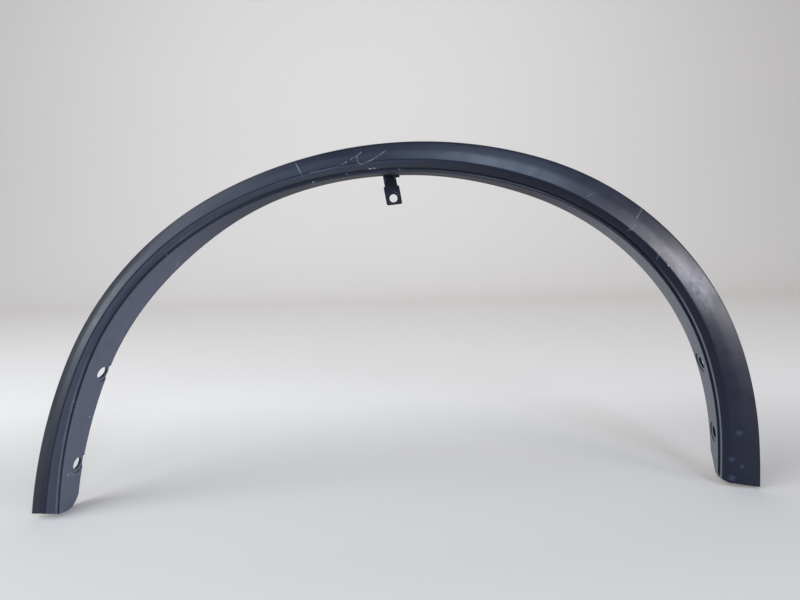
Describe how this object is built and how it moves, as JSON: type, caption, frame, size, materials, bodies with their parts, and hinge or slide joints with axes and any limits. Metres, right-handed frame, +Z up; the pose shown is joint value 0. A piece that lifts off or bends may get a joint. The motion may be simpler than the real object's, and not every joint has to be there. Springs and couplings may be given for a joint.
{
  "type": "wheel arch moulding",
  "caption": "One-piece wheel arch moulding: a tapering, twisting face strip with a shadow groove, an inner flange with screw seats and a top tab.",
  "frame": {"origin": "below the middle of the arch, at the height of its feet", "axes": "+X along the wheel opening from the narrow leg to the wide leg, +Z up, and the visible face looks along -Y"},
  "size_m": [0.82, 0.0604, 0.3985],
  "materials": {
    "moulding": "dark grey-blue textured polypropylene, satin"
  },
  "bodies": {
    "root": {"arch_moulding": "moulding"}
  },
  "joints": []
}
